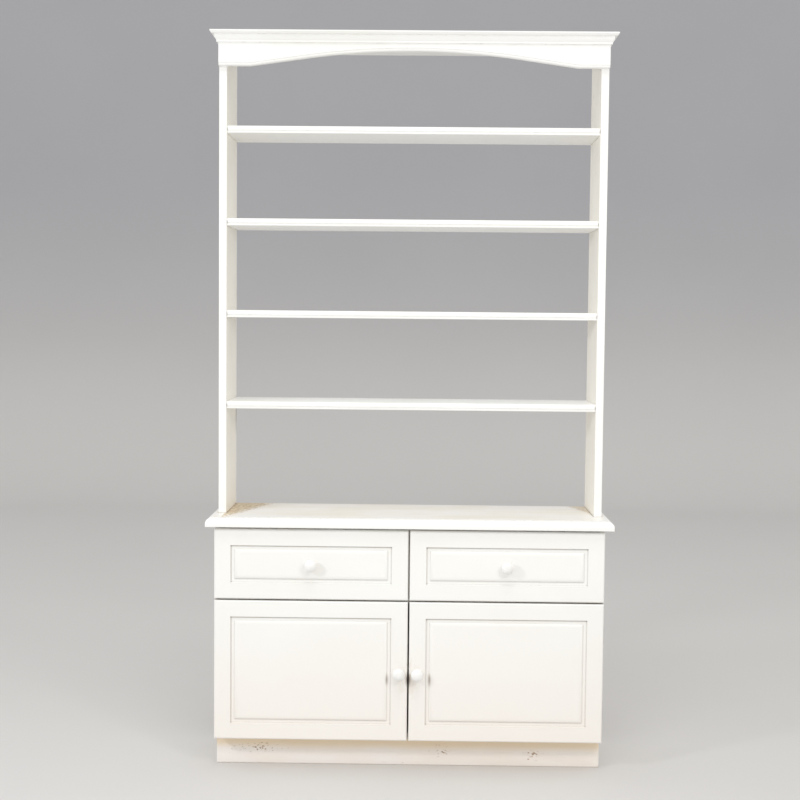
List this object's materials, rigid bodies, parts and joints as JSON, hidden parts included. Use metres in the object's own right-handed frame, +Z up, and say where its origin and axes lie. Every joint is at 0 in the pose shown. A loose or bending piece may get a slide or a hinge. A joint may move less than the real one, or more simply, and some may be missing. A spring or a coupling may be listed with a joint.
{
  "type": "dresser with hutch",
  "caption": "Painted dresser: a low base with drawers over doors, a moulded worktop, and an open shelved hutch under an arched fascia and a cornice.",
  "frame": {"origin": "on the floor, in the middle of the whole piece's width and depth, drawer and door knobs included", "axes": "+X towards the viewer's right, +Y from the front to the rear, +Z up"},
  "size_m": [1.1, 0.312, 2],
  "materials": {
    "paint_carcass": "satin white paint on board",
    "paint_worktop": "worn satin white paint over wood grain",
    "paint_hutch": "satin white paint on wood",
    "paint_fronts": "satin cream-white paint on board",
    "paint_plinth": "scuffed satin cream paint on board",
    "paint_knob": "gloss white paint on turned wood",
    "back_board": "thin painted fibreboard",
    "bare_wood": "bare softwood",
    "hinge_steel": "zinc-plated steel",
    "catch_plastic": "matte off-white plastic"
  },
  "bodies": {
    "carcass": {"plinth_board": "paint_plinth", "base_left_side": "paint_carcass", "base_right_side": "paint_carcass", "base_bottom": "paint_carcass", "base_divider": "paint_carcass", "base_back_panel": "back_board", "drawer_partition": "paint_carcass", "front_top_rail": "paint_carcass", "rear_top_rail": "paint_carcass", "cupboard_shelf": "paint_carcass", "shelf_battens": "bare_wood", "drawer_runners": "bare_wood", "door_catches": "catch_plastic", "left_hinge_frame_leaves": "hinge_steel", "right_hinge_frame_leaves": "hinge_steel", "worktop": "paint_worktop", "hutch_left_upright": "paint_hutch", "hutch_right_upright": "paint_hutch", "hutch_shelf_1": "paint_hutch", "hutch_shelf_2": "paint_hutch", "hutch_shelf_3": "paint_hutch", "hutch_shelf_4": "paint_hutch", "hutch_top_board": "paint_hutch", "fascia_board": "paint_hutch", "cornice_front": "paint_hutch", "cornice_left_return": "paint_hutch", "cornice_right_return": "paint_hutch"},
    "left_drawer": {"left_drawer_front": "paint_fronts", "left_drawer_outer_side": "bare_wood", "left_drawer_inner_side": "bare_wood", "left_drawer_back": "bare_wood", "left_drawer_bottom": "back_board", "left_drawer_knob": "paint_knob"},
    "right_drawer": {"right_drawer_front": "paint_fronts", "right_drawer_outer_side": "bare_wood", "right_drawer_inner_side": "bare_wood", "right_drawer_back": "bare_wood", "right_drawer_bottom": "back_board", "right_drawer_knob": "paint_knob"},
    "left_door": {"left_door": "paint_fronts", "left_door_knob": "paint_knob", "left_door_strike_plate": "hinge_steel", "left_hinge_door_leaves": "hinge_steel"},
    "right_door": {"right_door": "paint_fronts", "right_door_knob": "paint_knob", "right_door_strike_plate": "hinge_steel", "right_hinge_door_leaves": "hinge_steel"}
  },
  "joints": [
    {"name": "left_drawer_slide", "type": "slide", "parent": "carcass", "child": "left_drawer", "axis": [0, -1, 0], "range_m": [0, 0.18]},
    {"name": "right_drawer_slide", "type": "slide", "parent": "carcass", "child": "right_drawer", "axis": [0, -1, 0], "range_m": [0, 0.18]},
    {"name": "left_door_hinge", "type": "hinge", "parent": "carcass", "child": "left_door", "pos_m": [-0.528, -0.107, 0.276], "axis": [0, 0, -1], "range_deg": [0, 165]},
    {"name": "right_door_hinge", "type": "hinge", "parent": "carcass", "child": "right_door", "pos_m": [0.528, -0.107, 0.276], "axis": [0, 0, 1], "range_deg": [0, 165]}
  ]
}
